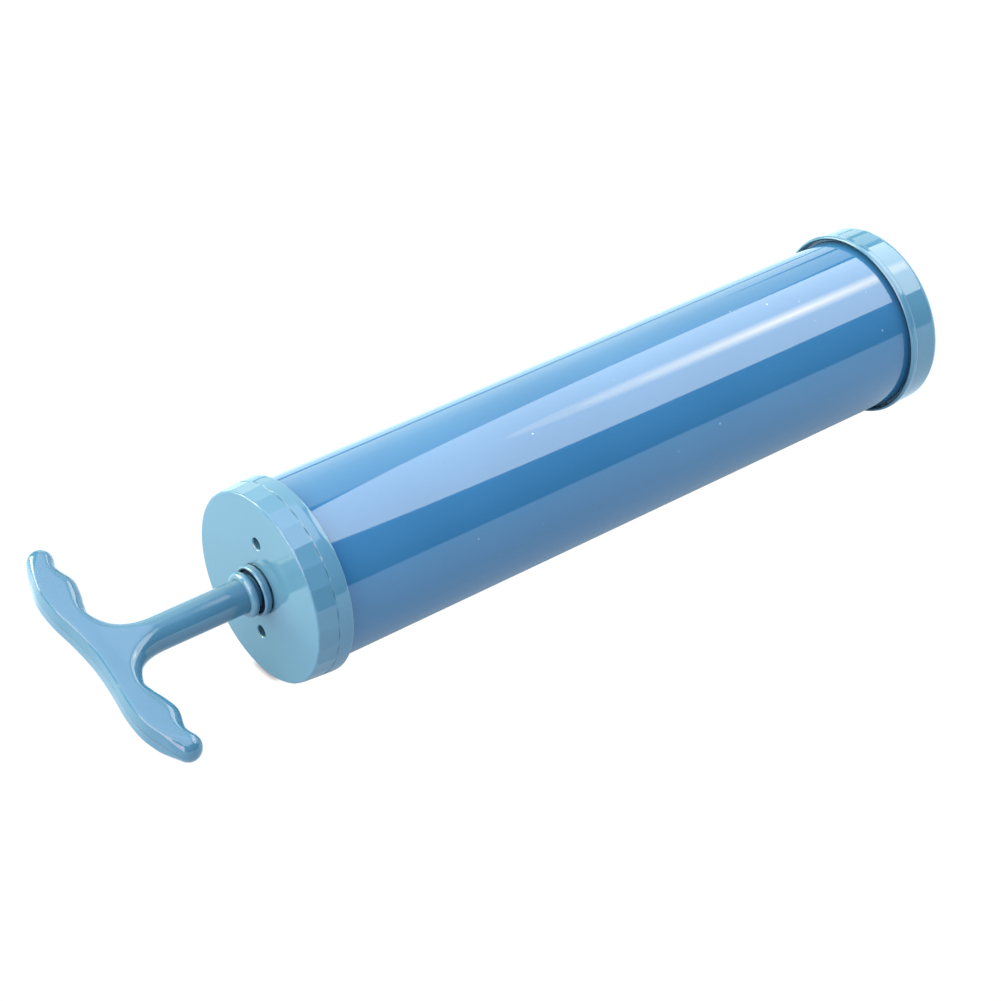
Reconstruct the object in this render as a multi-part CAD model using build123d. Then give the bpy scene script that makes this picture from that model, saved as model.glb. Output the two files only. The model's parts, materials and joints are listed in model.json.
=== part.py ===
from build123d import *
from math import cos, radians, sin
import os

# Ball inflation pump, lying on its two end caps.
#
# Everything is first drawn in the pump's own frame: the axis of the barrel is X, X = 0 is the outer
# face of the top cap, the handle is on the -X side and the outlet on the +X side. At the end all the
# pieces are moved together so that the origin is at the middle of the pump's underside, +Z up.
# All lengths are in millimetres and all angles in degrees.

# ---------------------------------------------------------------- driving dimensions

# Clearances
RUN = 0.05                      # radial gap of a running fit: rod, swivel, piston seal
SLIP = 0.10                     # radial gap between pieces that are pushed or screwed together
FLOAT = 0.30                    # gap between faces of pieces that move apart
SAME = 0.01                     # lengths that differ by less than this are taken as equal

# Barrel
TUBE_OD = 57.0
TUBE_WALL = 2.0
TUBE_R = TUBE_OD / 2
BORE_R = TUBE_R - TUBE_WALL
BODY_LENGTH = 250.0             # outer face of the top cap to outer face of the base cap

# Top cap
CAP_PLATE = 2.2                 # thickness of the cap's end plate
CAP_FACE_R = 30.3               # the outside is a slight cone, wider towards its open end
CAP_OPEN_R = 31.0
CAP_END = 10.9                  # the open end
CAP_CONE_END = 10.0             # where the cone has reached its full width
CAP_EDGE = 0.7                  # rounding of the face's rim and of the open end
GRIP_COUNT = 29
GRIP_PHASE = 6.6                # where the first pocket is, in degrees from the top
GRIP_START = 1.4
GRIP_END = 7.1
GRIP_FLOOR_R = 30.3             # the flat floors run level while the cone widens over them
GRIP_FILL = 0.66                # share of the pitch that is pocket
GRIP_CORNER = 0.8
VENT_D = 3.8
VENT_PITCH_R = 15.8
HUB_R = 10.0
HUB_END = 12.0
HUB_BORE_R = 7.0
LUG_COUNT = 4                   # bayonet lugs that hold the cap on the tube
LUG_ARC = 14.0
LUG_TURN = 22.0                 # how far the cap turns to lock
LUG_START = 8.7
LUG_LENGTH = 1.2
LUG_HEIGHT = 0.8
LUG_SLACK_ARC = 2.0             # how much wider than the lugs their slots are

# Guide bush, wiper, retaining ring and bumper in the top cap
BUSH_BEAD_R = 8.0
BUSH_BEAD_START = -2.9
BUSH_BEAD_END = -0.3
BUSH_BEAD_EDGE = 0.8
BUSH_NECK_R = 6.9
BUSH_SHOULDER_R = 7.7
BUSH_SHOULDER_START = 0.1
BUSH_SHOULDER_END = 0.9
BUSH_END = 14.6
BUSH_LEAD_IN = 0.4
BUSH_GROOVE_R = 6.2
WIPER_R = 7.0
WIPER_END = -1.2
WIPER_SET_BACK = 0.5            # how far the wiper sits inside the bead's mouth
WIPER_WALL = 0.7
RING_START = 12.15
RING_THICKNESS = 1.0
RING_R = 8.8
RING_GAP = 3.0
BUMPER_R = 12.5
BUMPER_START = 6.5
BUMPER_WEB = 15.4
BUMPER_END = 18.4
BUMPER_HOLE_R = 6.2
BUMPER_EDGE = 1.2

# Base cap
LIP_R = 30.95
LIP_START = 237.5
LIP_EDGE = 0.9
LIP_GAP = 1.1                   # radial gap between the lip and the tube
LIP_GAP_DEPTH = 2.0
BASE_R = 30.4
BASE_EDGE = 2.4
BASE_FLOOR = 2.5
GASKET = 1.2
GASKET_INSIDE = 1.5             # how far the gasket shows inside the bore
BOSS_R = 9.5
BOSS_PROUD = 4.5                # how far the valve boss stands into the barrel
SEAT_THICKNESS = 1.5
SEAT_HOLE_R = 2.5
CHAMBER_R = 6.5

# Outlet nozzle and valve
NOZZLE_PLUG = 4.0               # length screwed into the chamber
NOZZLE_GASKET = 0.8
NOZZLE_GASKET_INSET = 0.4       # how far its rim stays inside the flange's
NOZZLE_FLANGE_R = 9.5
NOZZLE_FLANGE = 2.0
NOZZLE_FLATS = 15.0             # across the flats that a spanner holds
NOZZLE_BODY_R = 7.0
NOZZLE_BODY = 4.2               # housing length past the flange
NOZZLE_BODY_EDGE = 1.5
NOZZLE_END_WALL = 1.8           # the wall that the spring pushes on
SPIGOT_R = 4.0
SPIGOT_LENGTH = 8.0
SPIGOT_EDGE = 0.8
NOZZLE_BORE_R = 1.75
VALVE_BORE_R = 5.2
VALVE_LIFT = 2.5
PAD_R = 4.0
PAD = 1.2
POPPET_R = 5.0
POPPET = 1.5
POPPET_STEM_R = 1.3
POPPET_STEM = 3.2
POPPET_FLUTES = 4
POPPET_FLUTE_R = 1.1
SPRING_R = 2.6
SPRING_WIRE_R = 0.25
SPRING_TURNS = 5
SPRING_SLACK = 0.05             # gap at each end of the spring

# Rod and handle, one moulding
ROD_R = 5.25
STOP_R = 7.1
STOP_START = -6.5
STOP_END = -3.8
STOP_EDGE = 1.2
STOP_GROOVE = 0.5
HANDLE_TILT = 14.6              # how far the bar is turned out of level
HANDLE_THICKNESS = 8.6
HANDLE_EDGE = 2.4
HANDLE_TIP_R = 4.0
HANDLE_ROOT_END = -34.0         # where the rod begins to flare into the bar
HANDLE_ROOT_CORE = -50.5        # how deep the rod's round core runs into the bar

# The bar's outline, one arm: distance along the pump axis, then distance out from it
PALM_LINE = [(-56.0, 0), (-56.6, 9.5), (-57.9, 19.5), (-57.8, 27.5), (-55.9, 34.5)]
TIP = (-50.0, 39.0)
TIP_PALM_ANGLE = 152.0          # where the round tip starts on the palm side
TIP_END_ANGLE = 75.0
TIP_FINGER_ANGLE = -4.0         # and where it ends on the finger side
FINGER_LINE = [(-47.3, 33.8), (-45.5, 27.6), (-46.3, 22.8), (-47.9, 18.0)]
TIP_LEAN = 0.3                  # how the finger side leaves the tip and reaches the valley
VALLEY_LEAN = 0.15
ROOT_PULLS = [(-48.62, 13.2), (-44.8, 5.5)]      # what rounds the bar's valley into the rod

# Piston
PISTON_GAP = 1.6                # between the rod screw and the valve boss, pump pushed in
PLATE_R = 25.9
REAR_PLATE = 6.0
REAR_PLATE_EDGE = 0.5
FRONT_PLATE = 4.5
FRONT_PLATE_R = 22.0
FRONT_PLATE_EDGE = 1.0
GUIDE_RING_WIDTH = 3.0
GUIDE_RING_DEPTH = 1.8
GUIDE_RING_GAP = 2.0
CUP_WEB = 2.0
CUP_WALL = 1.4
CUP_LENGTH = 9.5
CUP_FLARE = 1.4                 # how much narrower the cup's back end is than its lip
CUP_CORNER = 1.0                # bevel where the wall leaves the web
CUP_LIP = 1.5                   # length of the straight lip
CUP_LIP_EDGE = 0.4
CUP_LIP_WALL = 1.1
SWIVEL_R = 4.0
SWIVEL_BUSH_R = 5.6
REAR_POCKET_R = (10.5, 20.9)    # the lightening groove in the rear plate, inside and outside
REAR_POCKET = 2.0
PLATE_SCREW_COUNT = 3
PLATE_SCREW_PITCH_R = 15.5
PLATE_SCREW_R = 1.5
PLATE_SCREW_LENGTH = 9.0
PLATE_SCREW_HEAD_R = 2.8
PLATE_SCREW_HEAD = 1.8
WASHER = 1.0
WASHER_R = 7.5
ROD_SCREW_R = 2.0
ROD_SCREW_LENGTH = 18.0
ROD_SCREW_HEAD_R = 4.0
ROD_SCREW_HEAD = 2.6
HEAD_ROUNDING = 0.45            # rounding of a screw head, as a share of its height
RECESS_DEPTH = 1.2              # the cross recess in the screw heads
RECESS_WIDTH = 0.6
RECESS_LENGTH = 3.6

# ---------------------------------------------------------------- places worked out from them

FLOOR_X = BODY_LENGTH - BASE_FLOOR
TUBE_END = FLOOR_X - GASKET
BOSS_X = FLOOR_X - BOSS_PROUD
SEAT_X = BOSS_X + SEAT_THICKNESS
NOZZLE_SHOULDER = BODY_LENGTH + NOZZLE_GASKET
NOZZLE_HOUSING_END = NOZZLE_SHOULDER + NOZZLE_FLANGE + NOZZLE_BODY
NOZZLE_TIP = NOZZLE_HOUSING_END + SPIGOT_LENGTH
SPRING_SEAT = NOZZLE_HOUSING_END - NOZZLE_END_WALL
POPPET_X = SEAT_X + PAD
SPRING_X = POPPET_X + POPPET

ROD_SCREW_TIP = BOSS_X - PISTON_GAP
WASHER_X = ROD_SCREW_TIP - ROD_SCREW_HEAD - WASHER
ROD_END = WASHER_X
PISTON_FRONT = WASHER_X - FLOAT
CUP_X = PISTON_FRONT - FRONT_PLATE - CUP_WEB
PISTON_BACK = CUP_X - REAR_PLATE
ROD_SHOULDER = PISTON_BACK - FLOAT
STROKE = PISTON_BACK - BUMPER_END - FLOAT


# ---------------------------------------------------------------- helpers

def turned(points):
    """A solid of revolution about the pump axis from (x, radius) points."""
    outline = Polyline(*[(x, radius) for x, radius in points], close=True)
    return revolve(make_face(outline), Axis.X)


def disc(start, end, radius):
    """A plain cylinder on the pump axis."""
    return Plane(origin=(start, 0, 0), z_dir=(1, 0, 0)) * Cylinder(
        radius, end - start, align=(Align.CENTER, Align.CENTER, Align.MIN)
    )


def ring(start, end, outer, inner):
    """A plain ring on the pump axis."""
    return disc(start, end, outer) - disc(start, end, inner)


def around(solid, count, start=0.0):
    """Copies of a solid spaced evenly about the pump axis."""
    step = 360 / count
    return [Rot(start + step * index, 0, 0) * solid for index in range(count)]


def circle_edges(solid, x, radius):
    """The round edges of a turned solid at one x and one radius."""
    return [
        edge
        for edge in solid.edges().filter_by(GeomType.CIRCLE)
        if abs(edge.arc_center.X - x) < SAME and abs(edge.radius - radius) < SAME
    ]


def sector(start, end, outer, inner, arc, centre):
    """A piece of a ring, arc degrees wide, centred on an angle about the pump axis."""
    reach = outer * 2
    half = radians(arc / 2)
    corners = [(reach * cos(half), -reach * sin(half)), (reach * cos(half), reach * sin(half))]
    wedge_face = make_face(Polyline((0, 0), *corners, close=True))
    wedge = Plane(origin=(start, 0, 0), z_dir=(1, 0, 0)) * extrude(wedge_face, end - start)
    return ring(start, end, outer, inner) & (Rot(centre, 0, 0) * wedge)


def one(solid):
    """The single solid inside a boolean's result."""
    solids = solid.solids()
    assert len(solids) == 1, f"expected one solid, got {len(solids)}"
    return solids[0]


# ---------------------------------------------------------------- barrel

def barrel_tube():
    tube = ring(CAP_PLATE, TUBE_END, TUBE_R, BORE_R)
    root_r = TUBE_R - TUBE_WALL / 2
    lug = sector(LUG_START, LUG_START + LUG_LENGTH, TUBE_R + LUG_HEIGHT, root_r, LUG_ARC, 0)
    for piece in around(lug, LUG_COUNT):
        tube += piece
    return one(tube)


def bayonet_slots():
    """The room that the tube's lugs need inside the cap: a way in, and a turn to lock."""
    outer = TUBE_R + LUG_HEIGHT + SLIP
    inner = TUBE_R - SLIP
    start = LUG_START - SLIP
    end = LUG_START + LUG_LENGTH + SLIP
    arc = LUG_ARC + LUG_SLACK_ARC
    turn = sector(start, end, outer, inner, arc + LUG_TURN, LUG_TURN / 2)
    way_in = sector(start, CAP_END, outer, inner, arc, LUG_TURN)
    return around(turn, LUG_COUNT) + around(way_in, LUG_COUNT)


def grip_pocket():
    """One shallow pocket of the grip: flat, with rounded corners, deepest towards the open end."""
    pitch = 2 * CAP_FACE_R * sin(radians(180 / GRIP_COUNT))
    height = 2 * (CAP_OPEN_R - GRIP_FLOOR_R)
    block = Box(GRIP_END - GRIP_START, pitch * GRIP_FILL, height)
    block = fillet(block.edges().filter_by(Axis.Z), GRIP_CORNER)
    return Pos((GRIP_START + GRIP_END) / 2, 0, GRIP_FLOOR_R + height / 2) * block


def cap_outside():
    """The top cap's outside as a solid: a slight cone with a rounded rim at both ends."""
    outside = turned([
        (0, 0), (0, CAP_FACE_R), (CAP_CONE_END, CAP_OPEN_R), (CAP_END, CAP_OPEN_R), (CAP_END, 0),
    ])
    outside = fillet(circle_edges(outside, 0, CAP_FACE_R), CAP_EDGE)
    return fillet(circle_edges(outside, CAP_END, CAP_OPEN_R), CAP_EDGE)


def top_cap():
    cap = cap_outside() - disc(CAP_PLATE, CAP_END, TUBE_R + SLIP)
    cap += disc(CAP_PLATE, HUB_END, HUB_R)
    cap -= disc(0, HUB_END, HUB_BORE_R)
    cap -= disc(0, BUSH_SHOULDER_END, BUSH_SHOULDER_R + SLIP)
    for piece in around(grip_pocket(), GRIP_COUNT, GRIP_PHASE):
        cap -= piece
    for piece in bayonet_slots():
        cap -= piece
    vent = Pos(0, 0, VENT_PITCH_R) * disc(0, CAP_PLATE, VENT_D / 2)
    for piece in around(vent, 2):
        cap -= piece
    return one(cap)


def rod_guide_bush():
    bead = disc(BUSH_BEAD_START, BUSH_BEAD_END, BUSH_BEAD_R)
    bead = fillet(circle_edges(bead, BUSH_BEAD_START, BUSH_BEAD_R), BUSH_BEAD_EDGE)
    bead = fillet(circle_edges(bead, BUSH_BEAD_END, BUSH_BEAD_R), BUSH_BEAD_EDGE)
    bush = bead + disc(BUSH_BEAD_END, BUSH_SHOULDER_START, BUSH_NECK_R)
    bush += disc(BUSH_SHOULDER_START, BUSH_SHOULDER_END, BUSH_SHOULDER_R)
    bush += disc(BUSH_SHOULDER_END, BUSH_END, HUB_BORE_R - SLIP)
    bush -= ring(HUB_END, RING_START + RING_THICKNESS + SLIP, HUB_BORE_R, BUSH_GROOVE_R)
    bush -= disc(BUSH_BEAD_START, BUSH_END, ROD_R + RUN)
    bush -= disc(BUSH_BEAD_START, WIPER_END, WIPER_R)
    return one(chamfer(circle_edges(bush, BUSH_END, HUB_BORE_R - SLIP), BUSH_LEAD_IN))


def rod_wiper():
    """A rubber disc in the bead's mouth whose slim inner lip leans outwards along the rod."""
    lip = ROD_R + RUN
    rim = WIPER_R - SLIP
    front = BUSH_BEAD_START + WIPER_SET_BACK
    half = WIPER_WALL / 2
    return one(
        turned([
            (WIPER_END, lip + WIPER_WALL), (front + half, lip), (front, lip),
            (front, lip + half), (WIPER_END - WIPER_WALL, rim), (WIPER_END, rim),
        ])
    )


def bush_retaining_ring():
    end = RING_START + RING_THICKNESS
    washer = ring(RING_START, end, RING_R, BUSH_GROOVE_R + SLIP)
    cut = Box(2 * RING_THICKNESS, RING_GAP, 2 * RING_R - BUSH_GROOVE_R)
    gap = Pos((RING_START + end) / 2, 0, -RING_R) * cut
    return one(washer - gap)


def end_bumper():
    sleeve = ring(BUMPER_START, BUMPER_WEB, BUMPER_R, HUB_R + SLIP)
    web = ring(BUMPER_WEB, BUMPER_END, BUMPER_R, BUMPER_HOLE_R)
    bumper = sleeve + web
    return one(fillet(circle_edges(bumper, BUMPER_END, BUMPER_R), BUMPER_EDGE))


# ---------------------------------------------------------------- base and outlet

def base_cap():
    outside = turned([
        (LIP_START, 0), (LIP_START, LIP_R), (LIP_START + 2 * LIP_EDGE, LIP_R),
        (BODY_LENGTH, BASE_R), (BODY_LENGTH, 0),
    ])
    outside = fillet(circle_edges(outside, LIP_START, LIP_R), LIP_EDGE)
    outside = fillet(circle_edges(outside, BODY_LENGTH, BASE_R), BASE_EDGE)
    cap = outside - disc(LIP_START, FLOOR_X, TUBE_R + SLIP)
    cap -= disc(LIP_START, LIP_START + LIP_GAP_DEPTH, TUBE_R + LIP_GAP)
    cap += disc(BOSS_X, FLOOR_X, BOSS_R)
    cap -= disc(SEAT_X, BODY_LENGTH, CHAMBER_R)
    cap -= disc(BOSS_X, SEAT_X, SEAT_HOLE_R)
    return one(cap)


def base_gasket():
    return one(ring(TUBE_END, FLOOR_X, TUBE_R, BORE_R - GASKET_INSIDE))


def nozzle_gasket():
    return one(ring(BODY_LENGTH, NOZZLE_SHOULDER, NOZZLE_FLANGE_R - NOZZLE_GASKET_INSET, CHAMBER_R))


def outlet_nozzle():
    plug_x = BODY_LENGTH - NOZZLE_PLUG
    flange_end = NOZZLE_SHOULDER + NOZZLE_FLANGE
    nozzle = disc(plug_x, NOZZLE_SHOULDER, CHAMBER_R - SLIP)
    flange = disc(NOZZLE_SHOULDER, flange_end, NOZZLE_FLANGE_R)
    slab = Box(NOZZLE_FLANGE, NOZZLE_FLATS, 3 * NOZZLE_FLANGE_R)
    flats = Pos((NOZZLE_SHOULDER + flange_end) / 2, 0, 0) * slab
    nozzle += flange & flats
    housing = disc(flange_end, NOZZLE_HOUSING_END, NOZZLE_BODY_R)
    nozzle += fillet(circle_edges(housing, NOZZLE_HOUSING_END, NOZZLE_BODY_R), NOZZLE_BODY_EDGE)
    spigot = disc(NOZZLE_HOUSING_END, NOZZLE_TIP, SPIGOT_R)
    nozzle += chamfer(circle_edges(spigot, NOZZLE_TIP, SPIGOT_R), SPIGOT_EDGE)
    nozzle -= disc(plug_x, SPRING_SEAT, VALVE_BORE_R)
    nozzle -= disc(SPRING_SEAT, NOZZLE_TIP, NOZZLE_BORE_R)
    return one(nozzle)


def valve_pad():
    return one(disc(SEAT_X, POPPET_X, PAD_R))


def valve_poppet():
    poppet = disc(POPPET_X, SPRING_X, POPPET_R) + disc(SPRING_X, SPRING_X + POPPET_STEM, POPPET_STEM_R)
    flute = Pos(0, 0, POPPET_R) * disc(POPPET_X, SPRING_X, POPPET_FLUTE_R)
    for piece in around(flute, POPPET_FLUTES):
        poppet -= piece
    return one(poppet)


def valve_spring():
    """A coil spring between the poppet and the nozzle's inner shoulder."""
    length = SPRING_SEAT - SPRING_X - 2 * (SPRING_WIRE_R + SPRING_SLACK)
    coil = Helix(pitch=length / SPRING_TURNS, height=length, radius=SPRING_R)
    wire = Plane(origin=coil @ 0, z_dir=coil % 0) * Circle(SPRING_WIRE_R)
    spring = sweep(wire, path=coil, is_frenet=True)
    start = SPRING_X + SPRING_WIRE_R + SPRING_SLACK
    return one(Plane(origin=(start, 0, 0), z_dir=(1, 0, 0)) * spring)


# ---------------------------------------------------------------- rod and handle

def tip_point(angle, side):
    out = TIP[1] + HANDLE_TIP_R * sin(radians(angle))
    return (TIP[0] + HANDLE_TIP_R * cos(radians(angle)), side * out)


def arm_outline(side):
    """The closed outline of one arm of the bar, from the rod's middle out to the tip and back."""
    palm = [(x, side * out) for x, out in PALM_LINE]
    finger = [(x, side * out) for x, out in FINGER_LINE]
    pulls = [(x, side * out) for x, out in ROOT_PULLS]
    tip_palm = tip_point(TIP_PALM_ANGLE, side)
    tip_finger = tip_point(TIP_FINGER_ANGLE, side)
    leave = radians(TIP_PALM_ANGLE - 90)
    rod_side = (HANDLE_ROOT_END, side * ROD_R)
    edges = [
        Spline(*palm, tip_palm, tangents=[(0, side), (cos(leave), side * sin(leave))]),
        ThreePointArc(tip_palm, tip_point(TIP_END_ANGLE, side), tip_finger),
        Spline(tip_finger, *finger, tangents=[(-TIP_LEAN, -side), (-VALLEY_LEAN, -side)]),
        Bezier(finger[-1], *pulls, rod_side),
        Line(rod_side, (HANDLE_ROOT_END, 0)),
        Line((HANDLE_ROOT_END, 0), palm[0]),
    ]
    return make_face(Wire(edges))


def handle_bar():
    """The two arms as one slab, rounded all along its outline but not where the rod leaves it."""
    half = HANDLE_THICKNESS / 2
    bar = extrude(arm_outline(1) + arm_outline(-1), half, both=True)
    flat_rims = bar.edges().filter_by(lambda edge: abs(abs(edge.center().Z) - half) < RUN)
    return fillet(flat_rims.filter_by(GeomType.LINE, reverse=True), HANDLE_EDGE)


def handle_rod():
    core = disc(HANDLE_ROOT_CORE, HANDLE_ROOT_END, ROD_R)
    core = fillet(circle_edges(core, HANDLE_ROOT_CORE, ROD_R), HANDLE_EDGE)
    moulding = handle_bar() + core
    moulding += disc(HANDLE_ROOT_END, ROD_SHOULDER, ROD_R)
    moulding += disc(ROD_SHOULDER, ROD_END, SWIVEL_R)
    groove_root = ROD_R - STOP_GROOVE
    moulding -= ring(STOP_START + STOP_GROOVE, STOP_END - STOP_GROOVE, ROD_R + STOP_GROOVE, groove_root)
    moulding -= disc(ROD_END - ROD_SCREW_LENGTH, ROD_END, ROD_SCREW_R)
    return one(Rot(HANDLE_TILT, 0, 0) * moulding)


def rod_stop_ring():
    bead = disc(STOP_START, STOP_END, STOP_R)
    bead = fillet(circle_edges(bead, STOP_START, STOP_R), STOP_EDGE)
    bead = fillet(circle_edges(bead, STOP_END, STOP_R), STOP_EDGE)
    bead -= disc(STOP_START, STOP_END, ROD_R + RUN)
    groove_start = STOP_START + STOP_GROOVE + RUN
    groove_end = STOP_END - STOP_GROOVE - RUN
    bead += ring(groove_start, groove_end, ROD_R + STOP_GROOVE, ROD_R - STOP_GROOVE + RUN)
    return one(bead)


def cross_recess(x):
    """The cross-shaped recess in a screw head whose face is at x."""
    blade = Pos(x - RECESS_DEPTH / 2, 0, 0) * Box(RECESS_DEPTH, RECESS_WIDTH, RECESS_LENGTH)
    return blade + Rot(90, 0, 0) * blade


def pan_head_screw(seat, head_radius, head, shank_radius, length):
    """A screw on the pump axis whose head sits on the face at x = seat and points to +X."""
    top = disc(seat, seat + head, head_radius)
    top = fillet(circle_edges(top, seat + head, head_radius), head * HEAD_ROUNDING)
    screw = top + disc(seat - length, seat, shank_radius)
    return one(screw - cross_recess(seat + head))


def piston_washer():
    return one(ring(WASHER_X, WASHER_X + WASHER, WASHER_R, ROD_SCREW_R + SLIP))


def rod_screw():
    seat = WASHER_X + WASHER
    return pan_head_screw(seat, ROD_SCREW_HEAD_R, ROD_SCREW_HEAD, ROD_SCREW_R - RUN, ROD_SCREW_LENGTH)


# ---------------------------------------------------------------- piston

def piston_rear_plate():
    plate = disc(PISTON_BACK, CUP_X, PLATE_R)
    plate = chamfer(circle_edges(plate, PISTON_BACK, PLATE_R), REAR_PLATE_EDGE)
    groove = (PISTON_BACK + CUP_X - GUIDE_RING_WIDTH) / 2
    plate -= ring(groove - RUN, groove + GUIDE_RING_WIDTH + RUN, BORE_R, PLATE_R - GUIDE_RING_DEPTH)
    plate -= disc(PISTON_BACK, CUP_X, SWIVEL_BUSH_R)
    plate -= ring(PISTON_BACK, PISTON_BACK + REAR_POCKET, REAR_POCKET_R[1], REAR_POCKET_R[0])
    for piece in screw_holes(PISTON_BACK, CUP_X, PLATE_SCREW_R):
        plate -= piece
    return one(plate)


def screw_holes(start, end, radius):
    hole = Pos(0, 0, PLATE_SCREW_PITCH_R) * disc(start, end, radius)
    return around(hole, PLATE_SCREW_COUNT)


def piston_guide_ring():
    start = (PISTON_BACK + CUP_X - GUIDE_RING_WIDTH) / 2
    outer = BORE_R - SLIP
    band = ring(start, start + GUIDE_RING_WIDTH, outer, PLATE_R - GUIDE_RING_DEPTH + SLIP)
    cut = Box(2 * GUIDE_RING_WIDTH, GUIDE_RING_GAP, 3 * GUIDE_RING_DEPTH)
    gap = Pos(start + GUIDE_RING_WIDTH / 2, 0, outer) * cut
    return one(band - gap)


def piston_cup_seal():
    lip = CUP_X + CUP_LENGTH
    web = CUP_X + CUP_WEB
    outer = BORE_R - RUN
    back = outer - CUP_FLARE
    inside = back - CUP_WALL
    cup = turned([
        (CUP_X, SWIVEL_BUSH_R),
        (CUP_X, back - CUP_CORNER),
        (CUP_X + CUP_CORNER, back),
        (lip - CUP_LIP, outer),
        (lip, outer - CUP_LIP_EDGE),
        (lip, outer - CUP_LIP_WALL),
        (web + CUP_CORNER, inside),
        (web, inside - CUP_CORNER),
        (web, SWIVEL_BUSH_R),
    ])
    for piece in screw_holes(CUP_X, web, PLATE_SCREW_R + SLIP):
        cup -= piece
    return one(cup)


def piston_front_plate():
    start = CUP_X + CUP_WEB
    plate = disc(start, PISTON_FRONT, FRONT_PLATE_R)
    plate = fillet(circle_edges(plate, PISTON_FRONT, FRONT_PLATE_R), FRONT_PLATE_EDGE)
    plate -= disc(start, PISTON_FRONT, SWIVEL_BUSH_R)
    for piece in screw_holes(start, PISTON_FRONT, PLATE_SCREW_R + SLIP):
        plate -= piece
    for piece in screw_holes(PISTON_FRONT - PLATE_SCREW_HEAD, PISTON_FRONT, PLATE_SCREW_HEAD_R + SLIP):
        plate -= piece
    return one(plate)


def piston_swivel_bush():
    return one(ring(PISTON_BACK, PISTON_FRONT, SWIVEL_BUSH_R - SLIP, SWIVEL_R + RUN))


def piston_plate_screws():
    """The three identical screws that clamp the cup seal between the plates."""
    seat = PISTON_FRONT - PLATE_SCREW_HEAD
    shank = PLATE_SCREW_R - RUN
    screw = pan_head_screw(seat, PLATE_SCREW_HEAD_R, PLATE_SCREW_HEAD, shank, PLATE_SCREW_LENGTH)
    placed = Pos(0, 0, PLATE_SCREW_PITCH_R) * screw
    return Compound(children=around(placed, PLATE_SCREW_COUNT))


# ---------------------------------------------------------------- every piece, placed and written

PIECES = {
    "barrel_tube": barrel_tube,
    "top_cap": top_cap,
    "rod_guide_bush": rod_guide_bush,
    "rod_wiper": rod_wiper,
    "bush_retaining_ring": bush_retaining_ring,
    "end_bumper": end_bumper,
    "base_cap": base_cap,
    "base_gasket": base_gasket,
    "nozzle_gasket": nozzle_gasket,
    "outlet_nozzle": outlet_nozzle,
    "valve_pad": valve_pad,
    "valve_poppet": valve_poppet,
    "valve_spring": valve_spring,
    "handle_rod": handle_rod,
    "rod_stop_ring": rod_stop_ring,
    "piston_washer": piston_washer,
    "rod_screw": rod_screw,
    "piston_rear_plate": piston_rear_plate,
    "piston_guide_ring": piston_guide_ring,
    "piston_cup_seal": piston_cup_seal,
    "piston_front_plate": piston_front_plate,
    "piston_swivel_bush": piston_swivel_bush,
    "piston_plate_screws": piston_plate_screws,
}

solids = {name: make() for name, make in PIECES.items()}
low_x = min(solid.bounding_box().min.X for solid in solids.values())
high_x = max(solid.bounding_box().max.X for solid in solids.values())
to_row_frame = Pos(-(low_x + high_x) / 2, 0, CAP_OPEN_R)

os.makedirs("parts", exist_ok=True)
for name, solid in solids.items():
    export_step(to_row_frame * solid, f"parts/{name}.step")

print(f"pump axis: x shift {-(low_x + high_x) / 2:.3f}, z {CAP_OPEN_R:.3f}, length {high_x - low_x:.3f}")
print(f"stroke {STROKE:.2f}, valve lift {VALVE_LIFT:.2f}, nozzle tip {NOZZLE_TIP:.2f}")
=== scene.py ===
import json
import math

import bmesh
import bpy
import numpy as np
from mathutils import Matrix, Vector


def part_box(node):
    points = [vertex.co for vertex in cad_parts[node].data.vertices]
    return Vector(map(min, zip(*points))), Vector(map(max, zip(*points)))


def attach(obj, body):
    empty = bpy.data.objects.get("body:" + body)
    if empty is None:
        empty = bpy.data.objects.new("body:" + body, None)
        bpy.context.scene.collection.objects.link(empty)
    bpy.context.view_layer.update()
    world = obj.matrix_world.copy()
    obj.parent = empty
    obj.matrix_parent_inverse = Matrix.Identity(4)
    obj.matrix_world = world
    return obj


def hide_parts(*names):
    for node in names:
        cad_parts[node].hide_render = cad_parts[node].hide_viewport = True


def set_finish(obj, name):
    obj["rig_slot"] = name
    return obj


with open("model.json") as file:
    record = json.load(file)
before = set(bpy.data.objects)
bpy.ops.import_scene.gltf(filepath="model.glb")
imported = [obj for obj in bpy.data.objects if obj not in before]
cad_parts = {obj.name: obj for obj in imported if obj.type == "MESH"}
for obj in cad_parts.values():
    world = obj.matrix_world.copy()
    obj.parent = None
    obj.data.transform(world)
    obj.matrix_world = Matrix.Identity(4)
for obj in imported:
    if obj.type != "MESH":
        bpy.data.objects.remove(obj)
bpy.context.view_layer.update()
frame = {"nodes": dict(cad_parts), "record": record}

# Ball inflation pump on a plain white floor.
#
# The barrel's axis is X, with the handle on the -X side. Sizes marked MM are in millimetres; places
# come from the boxes of the CAD nodes. "Along" always means the distance from the top cap's outer
# face, positive towards the outlet, and a radius is measured from the barrel's axis.

MM = 0.001

# ---------------------------------------------------------------- places taken from the CAD nodes


def ends(node):
    """Where a CAD node starts and ends along the axis, in metres."""
    low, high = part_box(node)
    return low.x, high.x


TUBE_START, TUBE_END = ends("barrel_tube")
FACE, CAP_END = ends("top_cap")
BASE_START, BASE_END = ends("base_cap")
AXIS_Z = sum(corner.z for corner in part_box("base_cap")) / 2


def along(distance_mm):
    """The X of a point, given its distance in millimetres from the top cap's outer face."""
    return FACE + distance_mm * MM


# ---------------------------------------------------------------- sizes of what Blender adds, in mm

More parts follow.
